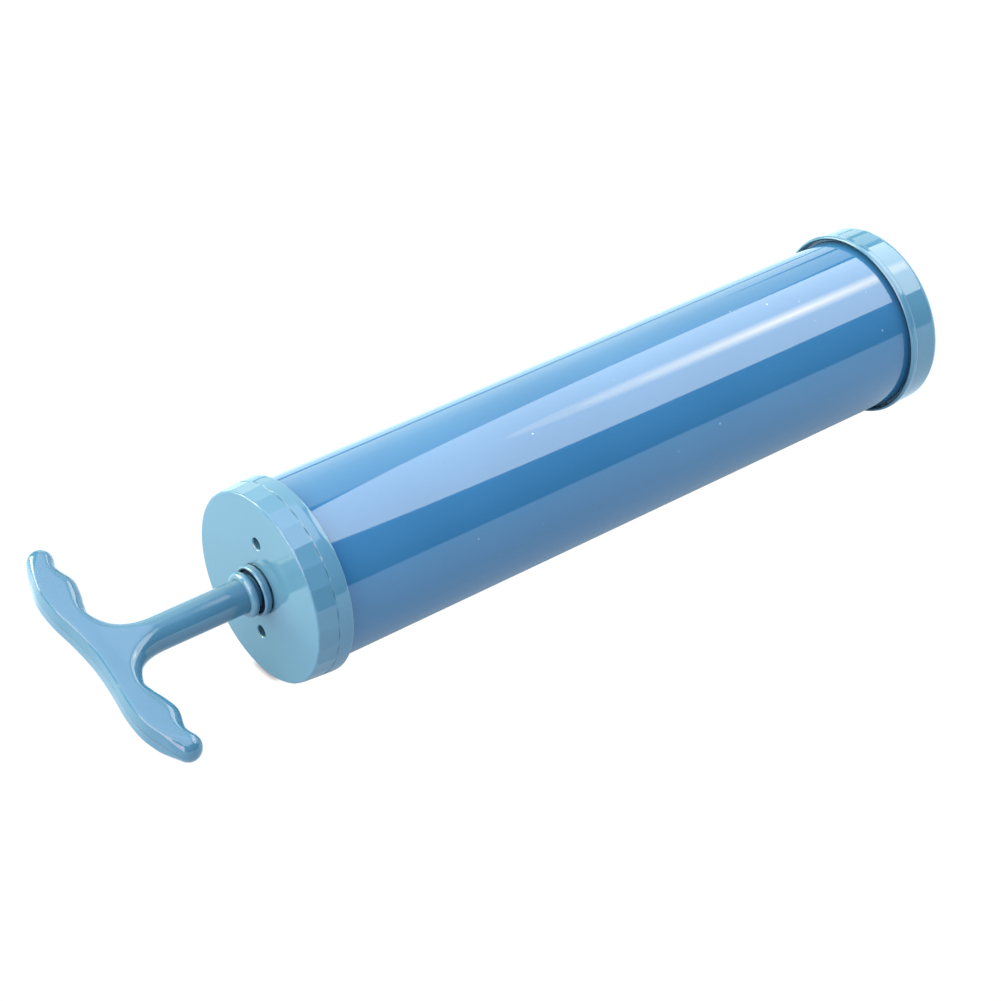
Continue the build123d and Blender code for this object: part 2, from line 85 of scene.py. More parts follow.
SEGMENTS = 256                  # round pieces
ARC_STEPS = 5                   # points in each rounded corner
HOLD = 0.12                     # how far the extra edge loops stand from a rounded corner
SHARP_ANGLE = math.radians(35)  # sharper corners than this stay sharp
ROUNDED_ANGLE = math.radians(75)  # the same, on the handle with its small rounded edges
SAME_POINT = 1e-7               # metres
SLIP = 0.1                      # gap between pieces that are pushed together
ROD_GAP = 0.05                  # gap round the sliding rod
ROW_GAP = 0.01                  # between the two rows that make a sudden step
NEAR = 0.05                     # radii closer than this count as the same

# Corner roundings that several pieces share
CRISP = 0.1
TRIMMED = 0.2
EASED = 0.3
SOFT = 0.4

# Tube
TUBE_R = 28.5
TUBE_WALL = 2.0
TUBE_SEGMENTS = 720

# Top cap
CAP_FACE_R = 30.3               # the outside is a slight cone, wider towards its open end
CAP_OPEN_R = 31.0
CAP_CONE_END = 10.0
CAP_EDGE = 0.7
CAP_MOUTH_EDGE = 0.15
CAP_PLATE = 2.2
SKIRT_START = 1.0
SKIRT_ROWS = 16
STEP_REACH = 0.5                # how far before the step its closer rows start
STEP_ROWS = 14
FLANGE_START = 0.45             # after the step
FLANGE_ROWS = 8
GRIPS = 29                      # flat facets round the skirt, with a small step where they end
GRIP_PHASE = math.radians(9.7)  # where the middle of one facet is, round the barrel
GRIP_SEGMENTS = 28              # round one facet
GRIP_END = 7.0
GRIP_STEP = 0.2                 # how long the step at the facets' ends is
GRIP_GROOVE = 0.20              # extra depth of the short groove along the step
GRIP_GROOVE_WIDTH = 0.14
HUB_R = 10.0
HUB_END = 12.0
HUB_EDGE = 0.5
HUB_BORE_R = 7.0
LUG_PITCH = 90.0                # bayonet lugs, in degrees round the barrel
LUG_ARC = 14.0
LUG_CENTRE = 90.0
LUG_TURN = 22.0
LUG_START = 8.7
LUG_END = 9.9
LUG_HEIGHT = 0.8
LUG_SLACK = 2                   # degrees
VENT_R = 1.9
VENT_FLARE = 0.25
VENT_PITCH_R = 15.8
VENT_MARGIN = 1.0               # how far the cutter stands out of the cap's plate
VENT_SEGMENTS = 64

# Rod guide bush, with the bead that stands in front of the cap
BEAD_START = -2.9
BEAD_END = -0.3
BEAD_R = 8.0
BEAD_MOUTH_EDGE = 0.25
BEAD_FRONT_EDGE = 0.7
BEAD_BACK_EDGE = 0.9
NECK_R = 6.9
SHOULDER_START = 0.1
SHOULDER_END = 0.9
SHOULDER_R = 7.7
BUSH_END = 14.6
SEAT_END = -1.2                 # the pocket that holds the wiper
SEAT_R = 7.0
BUSH_SEGMENTS = 160

# Wiper
WIPER_FRONT = -2.4
WIPER_LIP_BACK = -2.0
WIPER_RIM = -1.8
WIPER_BACK = -1.25
WIPER_R = 6.9
WIPER_WALL = 0.7
WIPER_LIP_WALL = 0.35
WIPER_LIP_EDGE = 0.05
WIPER_SEGMENTS = 128

# Stop ring on the rod
STOP_FRONT = -6.5
STOP_BACK = -3.8
STOP_R = 7.1
STOP_EDGE = 1.2

# Base cap
LIP_GAP = 1.1                   # its lip stands this clear of the tube
LIP_DEPTH = 2.0
LIP_R = 30.95
LIP_EDGE = 0.9
LIP_MOUTH_EDGE = 0.35
LIP_END = 2.2
LIP_END_R = 30.75
BASE_WALL_START = 2.6
BASE_WALL_R = 30.55
BASE_R = 30.4
BASE_EDGE = 2.4
BASE_HOLE_R = 6.5
BASE_PLATE = 2.5

# Nozzle
NOZZLE_START = 246.0
NOZZLE_CHAMBER_R = 5.2
NOZZLE_THREAD_R = 6.4
NOZZLE_FLANGE_R = 9.5
NOZZLE_FLANGE_END = 252.8
NOZZLE_FLATS = 15.0
NOZZLE_BODY_R = 7.0
NOZZLE_BODY_EDGE = 1.5
NOZZLE_BORE_R = 1.75
NOZZLE_BORE_LENGTH = 9.8
NOZZLE_SEGMENTS = 240
SPIGOT_R = 4.0
SPIGOT_LENGTH = 8.0
SPIGOT_CHAMFER = 0.8
SPIGOT_TIP_EDGE = 0.15

# Handle
HANDLE_TILT = math.radians(14.6)
HANDLE_THICKNESS = 8.6
ROD_R = 5.25
TIP_R = 4.0
PALM_LINE = [(-56.0, 0), (-56.6, 9.5), (-57.9, 19.5), (-57.8, 27.5), (-55.9, 34.5)]
TIP = (-50.0, 39.0)
TIP_FROM = math.radians(152)    # where the round tip starts on the palm side, and ends
TIP_TO = math.radians(-4)
PALM_PULL = (0, 9.5)            # tangents at the ends of the two curved sides
TIP_PULL = 7
FINGER_PULL = (0.0, -5.0)
ROD_PULL = (8.0, 0)
FINGER_LINE = [(-47.3, 33.8), (-45.5, 27.6), (-46.3, 22.8), (-47.9, 18.0)]
ROOT_LINE = [(-48.4, 14.2), (-45.4, 8.8), (-40.5, 6.0), (-34.0, 5.25)]
PALM_EDGE = 0.7
PALM_DRAFT = 0.06               # the palm side slopes back from the parting line in its middle
FINGER_EDGE = 4.1
ROD_BLEND = (-51.0, -37.0)      # where the flat bar turns into the round rod
BLEND_OUT = 14.0                # how far out that is felt
FINGER_SIDE = (1.5, 8.0)        # how far from the palm side the edge turns from crisp to round
TIP_SIDE = (33.0, 41.0)         # and how far out it does so at the tips
FIELD_STEP = 0.45
FIELD_LOW = (-60.0, -44.6, -6.8)
FIELD_HIGH = (-30.0, 44.6, 6.8)
EVEN_SHARE = 0.6
EVEN_ROUNDS = 4

# Rod
ROD_START = -29.0
RING_GROOVE = (-5.95, -4.35)    # the groove that holds the stop ring
RING_GROOVE_WALL = 0.05
RING_GROOVE_R = 4.8
ROD_MIDDLE = 20.0
SHOULDER_GAP = 0.3
ROD_CHAMFER = 0.4
ROD_END_R = 4.0
ROD_END_CHAMFER = 0.3
SCREW_HOLE_R = 2.0
SCREW_HOLE_DEPTH = 18


# ---------------------------------------------------------------- mesh helpers

def plain_object(name, vertices, faces, sharp_angle=SHARP_ANGLE):
    """A mesh object with merged points and outward normals, smooth but for its real corners."""
    mesh = bpy.data.meshes.new(name)
    mesh.from_pydata([tuple(v) for v in vertices], [], [tuple(f) for f in faces])
    tidy = bmesh.new()
    tidy.from_mesh(mesh)
    bmesh.ops.remove_doubles(tidy, verts=tidy.verts, dist=SAME_POINT)
    bmesh.ops.recalc_face_normals(tidy, faces=tidy.faces)
    tidy.to_mesh(mesh)
    tidy.free()
    mesh.shade_smooth()
    mesh.set_sharp_from_angle(angle=sharp_angle)
    obj = bpy.data.objects.new(name, mesh)
    bpy.context.scene.collection.objects.link(obj)
    return obj


def new_object(name, vertices, faces, body, slot, replaced, sharp_angle=SHARP_ANGLE):
    """A mesh object that stands for CAD nodes and rides on a body."""
    obj = plain_object(name, vertices, faces, sharp_angle)
    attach(obj, body)
    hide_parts(*replaced)
    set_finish(obj, slot)
    return obj


def rounded_profile(corners):
    """A closed outline of (along, radius) points from (along, radius, corner rounding) corners."""
    points = []
    count = len(corners)
    for index, (x, r, rounding) in enumerate(corners):
        here = np.array((x, r), float)
        before = np.array(corners[index - 1][:2], float) - here
        after = np.array(corners[(index + 1) % count][:2], float) - here
        to_before = before / np.linalg.norm(before)
        to_after = after / np.linalg.norm(after)
        if rounding == 0:
            points.append(here)
            continue
        half = math.acos(np.clip(to_before @ to_after, -1, 1)) / 2
        reach = rounding / math.tan(half)
        middle = (to_before + to_after) / np.linalg.norm(to_before + to_after)
        centre = here + middle * rounding / math.sin(half)
        start = here + to_before * reach
        end = here + to_after * reach
        points.append(start + to_before * HOLD)
        for step in range(ARC_STEPS + 1):
            share = step / ARC_STEPS
            arm = (start - centre) * (1 - share) + (end - centre) * share
            points.append(centre + arm / np.linalg.norm(arm) * rounding)
        points.append(end + to_after * HOLD)
    return points


def lathe(name, corners, body, slot, replaced, segments=SEGMENTS, shape=None):
    """A ring-shaped solid turned about the axis. shape(along, radius, angle) may move its surface."""
    outline = rounded_profile(corners)
    rows = len(outline)
    angles = np.arange(segments) * (2 * math.pi / segments)
    vertices = []
    for x, r in outline:
        radius = np.full(segments, r) if shape is None else shape(x, r, angles)
        ring = np.stack([
            np.full(segments, along(x)),
            radius * MM * np.cos(angles),
            radius * MM * np.sin(angles) + AXIS_Z,
        ], axis=1)
        vertices.extend(ring)
    faces = []
    for row in range(rows):
        below = row * segments
        above = ((row + 1) % rows) * segments
        for s in range(segments):
            t = (s + 1) % segments
            faces.append((below + s, below + t, above + t, above + s))
    return new_object(name, vertices, faces, body, slot, replaced)


# ---------------------------------------------------------------- barrel, caps and collar

def lug_share(angles, arc, centre):
    """1 where a bayonet lug or slot of that arc, in degrees, is; 0 between them."""
    turn = (np.degrees(angles) - centre + LUG_PITCH / 2) % LUG_PITCH - LUG_PITCH / 2
    return (np.abs(turn) < arc / 2).astype(float)


def tube_shape(x, r, angles):
    """The tube's radius, with the four bayonet lugs that the top cap hides."""
    on_lug = LUG_START < x < LUG_END and r > TUBE_R - SLIP
    return r + (LUG_HEIGHT * lug_share(angles, LUG_ARC, LUG_CENTRE) if on_lug else 0 * angles)


def make_tube():
    start = (TUBE_START - FACE) / MM
    end = (TUBE_END - FACE) / MM
    inner = TUBE_R - TUBE_WALL
    lug_rows = [LUG_START - ROW_GAP, LUG_START + ROW_GAP, LUG_END - ROW_GAP, LUG_END + ROW_GAP]
    corners = [(start, inner, TRIMMED), (start, TUBE_R, TRIMMED)]
    corners += [(x, TUBE_R, 0) for x in lug_rows]
    corners += [(end, TUBE_R, TRIMMED), (end, inner, TRIMMED)]
    return lathe(
        "tube_skin", corners, "barrel", "barrel_blue", ["barrel_tube"], TUBE_SEGMENTS, tube_shape
    )


def soft_step(value, low, high):
    share = np.clip((value - low) / (high - low), 0, 1)
    return share * share * (3 - 2 * share)


def cone_r(x):
    """The radius of the top cap's conical outside."""
    return CAP_FACE_R + (CAP_OPEN_R - CAP_FACE_R) * x / CAP_CONE_END


def grip_shape(x, r, angles):
    """The skirt's radius with its flat facets, which end in a step that is deepest in their middles."""
    half_pitch = math.pi / GRIPS
    turn = (angles - GRIP_PHASE + half_pitch) % (2 * half_pitch) - half_pitch
    middle = 1 - (turn / half_pitch) ** 2
    flat = cone_r(x) * (1 - math.cos(half_pitch) / np.cos(turn))
    groove = GRIP_GROOVE * math.exp(-(((x - GRIP_END) / GRIP_GROOVE_WIDTH) ** 2))
    depth = flat + groove * middle
    into = soft_step(x, 0, CAP_EDGE)
    out = 1 - soft_step(x, GRIP_END, GRIP_END + GRIP_STEP)
    return r - depth * into * out


def top_cap_shape(x, r, angles):
    """The top cap's surface: facets outside, and inside the slots that hold the tube's lugs."""
    if r > TUBE_R + LUG_HEIGHT and x < GRIP_END + GRIP_STEP:
        return grip_shape(x, r, angles)
    slot = abs(r - TUBE_R - SLIP) < NEAR and x > LUG_START - SLIP
    if not slot:
        return np.full(len(angles), r)
    wanted = lug_share(angles, LUG_ARC + LUG_SLACK, LUG_CENTRE + LUG_TURN)
    if x < LUG_END + SLIP:
        turned = lug_share(angles, LUG_ARC + LUG_TURN + LUG_SLACK, LUG_CENTRE + LUG_TURN / 2)
        wanted = np.maximum(wanted, turned)
    return r + LUG_HEIGHT * wanted


def make_top_cap():
    inner = TUBE_R + SLIP
    end = (CAP_END - FACE) / MM
    skirt = np.linspace(SKIRT_START, GRIP_END - STEP_REACH - SLIP, SKIRT_ROWS)
    step = np.linspace(GRIP_END - STEP_REACH, GRIP_END + 1.4 * GRIP_STEP, STEP_ROWS)
    flange = np.linspace(GRIP_END + FLANGE_START, CAP_CONE_END, FLANGE_ROWS)
    slot_start, slot_end = LUG_START - SLIP, LUG_END + SLIP
    slot_rows = [slot_end + ROW_GAP, slot_end - ROW_GAP, slot_start + ROW_GAP, slot_start - ROW_GAP]
    mouth = SHOULDER_R + SLIP
    corners = [(0, mouth, TRIMMED), (0, CAP_FACE_R, CAP_EDGE)]
    corners += [(x, cone_r(x), 0) for x in (*skirt, *step, *flange)]
    corners += [(end, CAP_OPEN_R, CAP_EDGE), (end, inner, CAP_MOUTH_EDGE)]
    corners += [(x, inner, 0) for x in slot_rows]
    corners += [(CAP_PLATE, inner, EASED), (CAP_PLATE, HUB_R, HUB_EDGE), (HUB_END, HUB_R, EASED)]
    corners += [(HUB_END, HUB_BORE_R, EASED), (SHOULDER_END, HUB_BORE_R, CRISP)]
    corners += [(SHOULDER_END, mouth, CRISP)]
    segments = GRIPS * GRIP_SEGMENTS
    cap = lathe("top_cap_skin", corners, "barrel", "cap_teal", ["top_cap"], segments, top_cap_shape)
    for side in (1, -1):
        cut_hole(cap, side * VENT_PITCH_R)
    return cap


def cut_hole(cap, height):
    """Cuts one round air vent with a slightly flared mouth through the cap's face."""
    rows = [(-VENT_MARGIN, VENT_R + VENT_MARGIN + VENT_FLARE), (VENT_FLARE, VENT_R)]
    rows += [(CAP_PLATE + VENT_MARGIN, VENT_R)]
    count = VENT_SEGMENTS
    angles = np.arange(count) * (2 * math.pi / count)
    vertices = [
        (along(x), r * MM * math.cos(a), AXIS_Z + height * MM + r * MM * math.sin(a))
        for x, r in rows for a in angles
    ]
    faces = [tuple(range(count)), tuple(range(2 * count, 3 * count))]
    for row in range(len(rows) - 1):
        for s in range(count):
            t = (s + 1) % count
            faces.append((row * count + s, row * count + t, (row + 1) * count + t, (row + 1) * count + s))
    cutter = plain_object("vent_cutter", vertices, faces)
    cut = cap.modifiers.new("vent", "BOOLEAN")
    cut.operation = "DIFFERENCE"
    cut.solver = "EXACT"
    cut.object = cutter
    keep_modified_mesh(cap)
    bpy.data.objects.remove(cutter)


def keep_modified_mesh(obj):
    """Turns an object's modifiers into its mesh."""
    evaluated = obj.evaluated_get(bpy.context.evaluated_depsgraph_get())
    mesh = bpy.data.meshes.new_from_object(evaluated)
    obj.modifiers.clear()
    obj.data = mesh
    mesh.set_sharp_from_angle(angle=SHARP_ANGLE)


def make_base_cap():
    start = (BASE_START - FACE) / MM
    end = (BASE_END - FACE) / MM
    plate = end - BASE_PLATE
    inner = TUBE_R + SLIP
    gap = TUBE_R + LIP_GAP
    corners = [
        (start, gap, LIP_MOUTH_EDGE), (start, LIP_R, LIP_EDGE), (start + LIP_END, LIP_END_R, SOFT),
        (start + BASE_WALL_START, BASE_WALL_R, EASED), (end, BASE_R, BASE_EDGE),
        (end, BASE_HOLE_R, EASED), (plate, BASE_HOLE_R, TRIMMED), (plate, inner, TRIMMED),
        (start + LIP_DEPTH, inner, CRISP), (start + LIP_DEPTH, gap, CRISP),
    ]
    return lathe("base_cap_skin", corners, "barrel", "cap_teal", ["base_cap"])


def make_bush():
    bore = ROD_R + ROD_GAP
    corners = [
        (BEAD_START, SEAT_R, BEAD_MOUTH_EDGE), (BEAD_START, BEAD_R, BEAD_FRONT_EDGE),
        (BEAD_END, BEAD_R, BEAD_BACK_EDGE), (BEAD_END, NECK_R, CRISP),
        (SHOULDER_START, NECK_R, CRISP), (SHOULDER_START, SHOULDER_R, CRISP),
        (SHOULDER_END, SHOULDER_R, CRISP), (SHOULDER_END, NECK_R, CRISP),
        (BUSH_END, NECK_R, SOFT), (BUSH_END, bore, TRIMMED), (SEAT_END, bore, CRISP),
        (SEAT_END, SEAT_R, CRISP),
    ]
    return lathe("bush_skin", corners, "barrel", "cap_teal", ["rod_guide_bush"], BUSH_SEGMENTS)


def make_wiper():
    lip = ROD_R + ROD_GAP
    corners = [
        (WIPER_BACK, lip + WIPER_WALL, CRISP), (WIPER_LIP_BACK, lip, WIPER_LIP_EDGE),
        (WIPER_FRONT, lip, WIPER_LIP_EDGE), (WIPER_FRONT, lip + WIPER_LIP_WALL, CRISP),
        (WIPER_RIM, WIPER_R, CRISP), (WIPER_BACK, WIPER_R, CRISP),
    ]
    return lathe("wiper_skin", corners, "barrel", "black_rubber", ["rod_wiper"], WIPER_SEGMENTS)


def make_stop_ring():
    bore = ROD_R + ROD_GAP
    corners = [
        (STOP_BACK, bore, CRISP), (STOP_BACK, STOP_R, STOP_EDGE),
        (STOP_FRONT, STOP_R, STOP_EDGE), (STOP_FRONT, bore, CRISP),
    ]
    return lathe("stop_ring_skin", corners, "plunger", "cap_teal", ["rod_stop_ring"], BUSH_SEGMENTS)


def nozzle_shape(x, r, angles):
    """The nozzle's surface, with the two flats of its flange."""
    if r <= NOZZLE_BODY_R or x > NOZZLE_FLANGE_END + ROW_GAP:
        return np.full(len(angles), r)
    return np.minimum(r, NOZZLE_FLATS / 2 / np.maximum(np.abs(np.cos(angles)), 1e-6))


def make_nozzle():
    tip = (ends("outlet_nozzle")[1] - FACE) / MM
    shoulder = (ends("nozzle_gasket")[1] - FACE) / MM
    spigot = tip - SPIGOT_LENGTH
    chamber = tip - NOZZLE_BORE_LENGTH
    corners = [
        (NOZZLE_START, NOZZLE_CHAMBER_R, CRISP), (NOZZLE_START, NOZZLE_THREAD_R, TRIMMED),
        (shoulder, NOZZLE_THREAD_R, CRISP), (shoulder, NOZZLE_FLANGE_R, EASED),
        (NOZZLE_FLANGE_END, NOZZLE_FLANGE_R, SOFT), (NOZZLE_FLANGE_END, NOZZLE_BODY_R, EASED),
        (spigot, NOZZLE_BODY_R, NOZZLE_BODY_EDGE), (spigot, SPIGOT_R, SOFT),
        (tip - SPIGOT_CHAMFER, SPIGOT_R, EASED), (tip, SPIGOT_R - SPIGOT_CHAMFER, SPIGOT_TIP_EDGE),
        (tip, NOZZLE_BORE_R, SPIGOT_TIP_EDGE), (chamber, NOZZLE_BORE_R, CRISP),
        (chamber, NOZZLE_CHAMBER_R, CRISP),
    ]
    return lathe(
        "nozzle_skin", corners, "barrel", "cap_teal", ["outlet_nozzle"], NOZZLE_SEGMENTS, nozzle_shape
    )


# ---------------------------------------------------------------- handle and rod

def curve_through(points, start_pull, end_pull, steps=24):
    """Points of a smooth curve through the given ones; the pulls are the tangents at its two ends."""
    knots = [np.array(p, float) for p in points]
    tangents = [np.array(start_pull, float)]
    for before, after in zip(knots[:-2], knots[2:]):
        tangents.append((after - before) / 2)
    tangents.append(np.array(end_pull, float))
    curve = []
    for (a, b), (u, v) in zip(zip(knots, knots[1:]), zip(tangents, tangents[1:])):
        for t in np.arange(steps) / steps:
            curve.append(
                a * (2 * t**3 - 3 * t**2 + 1) + u * (t**3 - 2 * t**2 + t)
                + b * (3 * t**2 - 2 * t**3) + v * (t**3 - t**2)
            )
    curve.append(knots[-1])
    return curve


def tip_point(angle):
    """A point of the arm's round tip, by its angle from straight towards the cap."""
    return (TIP[0] + TIP_R * math.cos(angle), TIP[1] + TIP_R * math.sin(angle))


def arm_outline():
    """One arm's outline, from the palm's middle round the tip to the rod."""
    leave = np.array((math.sin(TIP_FROM), -math.cos(TIP_FROM)))
    palm = curve_through([*PALM_LINE, tip_point(TIP_FROM)], PALM_PULL, leave * TIP_PULL)
    tip = [tip_point(a) for a in np.linspace(TIP_FROM, TIP_TO, 40)]
    finger = curve_through([tip_point(TIP_TO), *FINGER_LINE, *ROOT_LINE], FINGER_PULL, ROD_PULL)
    return np.array([*palm[:-1], *tip[:-1], *finger])


def outline_distance(x, out, outline):
    """Signed distance, in mm, from points to the arm's outline, negative inside it."""
    other_arm = -20.0
    start = np.array([(outline[0][0], other_arm)])
    end = np.array([(0.0, outline[-1][1]), (0.0, other_arm)])
    ring = np.concatenate([start, outline, end])
    px, py = x.ravel(), out.ravel()
    best = np.full(px.shape, 1e9)
    inside = np.zeros(px.shape, bool)
    for (ax, ay), (bx, by) in zip(ring, np.roll(ring, -1, axis=0)):
        dx, dy = bx - ax, by - ay
        length = dx * dx + dy * dy
        if length < 1e-12:
            continue
        share = np.clip(((px - ax) * dx + (py - ay) * dy) / length, 0, 1)
        best = np.minimum(best, (px - ax - share * dx) ** 2 + (py - ay - share * dy) ** 2)
        if ay != by:
            crosses = (ay > py) != (by > py)
            inside ^= crosses & (px < (py - ay) / (by - ay) * dx + ax)
    distance = np.sqrt(best)
    return np.where(inside, -distance, distance).reshape(x.shape)


def rounded_meet(a, b, rounding):
    """Signed distance to the overlap of two fields, with its edge rounded."""
    u, v = a + rounding, b + rounding
    corner = np.hypot(np.maximum(u, 0), np.maximum(v, 0))
    return np.minimum(np.maximum(u, v), 0) + corner - rounding


def handle_field(x, out, up, flat):
    """Signed distance to the handle in mm. flat is the outline's distance at each x and out."""
    towards_fingers = soft_step(x - palm_side(out), *FINGER_SIDE)
    towards_tip = soft_step(np.abs(out), *TIP_SIDE)
    round_share = np.maximum(towards_fingers, towards_tip)
    rod_share = soft_step(x, *ROD_BLEND) * (1 - soft_step(np.abs(out), ROD_R, BLEND_OUT))
    finger_edge = FINGER_EDGE + (ROD_R - FINGER_EDGE) * rod_share
    edge = PALM_EDGE + (finger_edge - PALM_EDGE) * round_share
    half = HANDLE_THICKNESS / 2 + (ROD_R - HANDLE_THICKNESS / 2) * rod_share
    drafted = flat + PALM_DRAFT * np.abs(up) * (1 - round_share)
    return rounded_meet(drafted, np.abs(up) - half, edge)


def palm_side(out):
    """Where the palm side is, along the axis, at a distance out from it."""
    xs = [point[0] for point in PALM_LINE] + [TIP[0] - TIP_R]
    outs = [point[1] for point in PALM_LINE] + [TIP[1] + 0.5]
    return np.interp(np.abs(out), outs, xs)


def field_surface(values, origin, step):
    """The zero surface of a field on a grid, as vertices and four-sided faces."""
    inside = values < 0
    corner_sum = np.zeros(tuple(n - 1 for n in values.shape), int)
    position = np.zeros(corner_sum.shape + (3,))
    crossings = np.zeros(corner_sum.shape)
    cells = tuple(slice(0, n) for n in corner_sum.shape)
    grid = np.stack(np.meshgrid(*[np.arange(n) for n in corner_sum.shape], indexing="ij"), axis=-1)
    for axis in range(3):
        others = [a for a in range(3) if a != axis]
        for du in (0, 1):
            for dv in (0, 1):
                offset = [0, 0, 0]
                offset[others[0]], offset[others[1]] = du, dv
                low = tuple(slice(o, o + n) for o, n in zip(offset, corner_sum.shape))
                shifted = list(offset)
                shifted[axis] += 1
                high = tuple(slice(o, o + n) for o, n in zip(shifted, corner_sum.shape))
                a, b = values[low], values[high]
                cut = (a < 0) != (b < 0)
                share = np.where(cut, a / np.where(cut, a - b, 1), 0)
                point = grid + np.array(offset, float)
                point[..., axis] += share
                position[cut] += point[cut]
                crossings[cut] += 1
    used = crossings > 0
    index = np.full(used.shape, -1)
    index[used] = np.arange(used.sum())
    vertices = origin + position[used] / crossings[used][:, None] * step
    faces = []
    for axis in range(3):
        u, v = [a for a in range(3) if a != axis]
        low = [slice(None)] * 3
        high = [slice(None)] * 3
        low[axis], high[axis] = slice(0, -1), slice(1, None)
        cut = inside[tuple(low)] != inside[tuple(high)]
        where = np.argwhere(cut)
        keep = (where[:, u] > 0) & (where[:, v] > 0)
        keep &= (where[:, u] < inside.shape[u] - 1) & (where[:, v] < inside.shape[v] - 1)
        where = where[keep]
        quad = []
        for du, dv in ((-1, -1), (0, -1), (0, 0), (-1, 0)):
            cell = where.copy()
            cell[:, u] += du
            cell[:, v] += dv
            quad.append(index[cell[:, 0], cell[:, 1], cell[:, 2]])
        faces.append(np.stack(quad, axis=1))
    return vertices, np.concatenate(faces)


def settle(vertices, field, rounds=2):
    """Moves vertices along the field's slope onto its zero surface."""
    small = 0.02
    for _ in range(rounds):
        here = field(vertices)
        slope = np.stack([
            (field(vertices + np.eye(3)[a] * small) - field(vertices - np.eye(3)[a] * small)) / (2 * small)
            for a in range(3)
        ], axis=1)
        length = (slope**2).sum(axis=1)
        vertices = vertices - slope * (here / np.maximum(length, 0.2))[:, None]
    return vertices


def even_out(vertices, faces):
    """Moves each vertex most of the way to the middle of its neighbours."""
    total = np.zeros_like(vertices)
    count = np.zeros(len(vertices))
    for here, there in zip(faces.T, np.roll(faces.T, -1, axis=0)):
        np.add.at(total, here, vertices[there])
        np.add.at(total, there, vertices[here])
        np.add.at(count, here, 1)
        np.add.at(count, there, 1)
    return vertices * (1 - EVEN_SHARE) + total / count[:, None] * EVEN_SHARE


def handle_surface():
    """The bar and the start of the rod as vertices and faces, in mm, in the bar's own plane."""
    outline = arm_outline()
    low = np.array(FIELD_LOW)
    high = np.array(FIELD_HIGH)
    counts = np.ceil((high - low) / FIELD_STEP).astype(int)
    axes = [low[a] + np.arange(counts[a]) * FIELD_STEP for a in range(3)]
    x, out, up = np.meshgrid(*axes, indexing="ij")
    plane = outline_distance(x[:, :, 0], np.abs(out[:, :, 0]), outline)
    values = handle_field(x, out, up, plane[:, :, None])

    def field(points):
        flat = outline_distance(points[:, 0], np.abs(points[:, 1]), outline)
        return handle_field(points[:, 0], points[:, 1], points[:, 2], flat)

    vertices, faces = field_surface(values, low, FIELD_STEP)
    for _ in range(EVEN_ROUNDS):
        vertices = settle(even_out(vertices, faces), field)
    return vertices, faces


def rod_rows():
    """The rod's (along, radius) rows, from the bar to its end and into its screw hole."""
    shoulder = (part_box("piston_rear_plate")[0].x - FACE) / MM - SHOULDER_GAP
    end = (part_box("handle_rod")[1].x - FACE) / MM
    front, back = RING_GROOVE
    rows = [(ROD_START, ROD_R), (STOP_FRONT - TRIMMED, ROD_R), (front, ROD_R)]
    rows += [(front + RING_GROOVE_WALL, RING_GROOVE_R), (back - RING_GROOVE_WALL, RING_GROOVE_R)]
    rows += [(back, ROD_R), (ROD_MIDDLE, ROD_R)]
    rows += [(shoulder - ROD_CHAMFER, ROD_R), (shoulder, ROD_R - ROD_CHAMFER), (shoulder, ROD_END_R)]
    rows += [(end - ROD_END_CHAMFER, ROD_END_R), (end, ROD_END_R - ROD_END_CHAMFER)]
    rows += [(end, SCREW_HOLE_R), (end - SCREW_HOLE_DEPTH, SCREW_HOLE_R)]
    return rows


def make_handle():
    vertices, faces = handle_surface()
    edges = {}
    for face in faces:
        for a, b in zip(face, np.roll(face, -1)):
            key = (min(a, b), max(a, b))
            edges[key] = edges.get(key, 0) + 1
    rim = sorted({v for key, uses in edges.items() if uses == 1 for v in key},
                 key=lambda v: math.atan2(vertices[v][2], vertices[v][1]))
    angles = np.array([math.atan2(vertices[v][2], vertices[v][1]) for v in rim])
    for v, angle in zip(rim, angles):
        vertices[v][1:] = ROD_R * math.cos(angle), ROD_R * math.sin(angle)
    count = len(rim)
    rings = [np.array(rim)]
    vertices = list(vertices)
    for x, r in rod_rows():
        start = len(vertices)
        vertices.extend(np.stack([np.full(count, x), r * np.cos(angles), r * np.sin(angles)], axis=1))
        rings.append(np.arange(start, start + count))
    faces = [tuple(f) for f in faces]
    for low, high in zip(rings, rings[1:]):
        for s in range(count):
            t = (s + 1) % count
            faces.append((low[s], low[t], high[t], high[s]))
    faces.append(tuple(rings[-1][::-1]))
    turned = []
    for x, out, up in vertices:
        y = out * math.cos(HANDLE_TILT) - up * math.sin(HANDLE_TILT)
        z = out * math.sin(HANDLE_TILT) + up * math.cos(HANDLE_TILT)
        turned.append((along(x), y * MM, z * MM + AXIS_Z))
    return new_object(
        "handle_skin", turned, faces, "plunger", "handle_blue", ["handle_rod"], ROUNDED_ANGLE
    )


# ---------------------------------------------------------------- materials

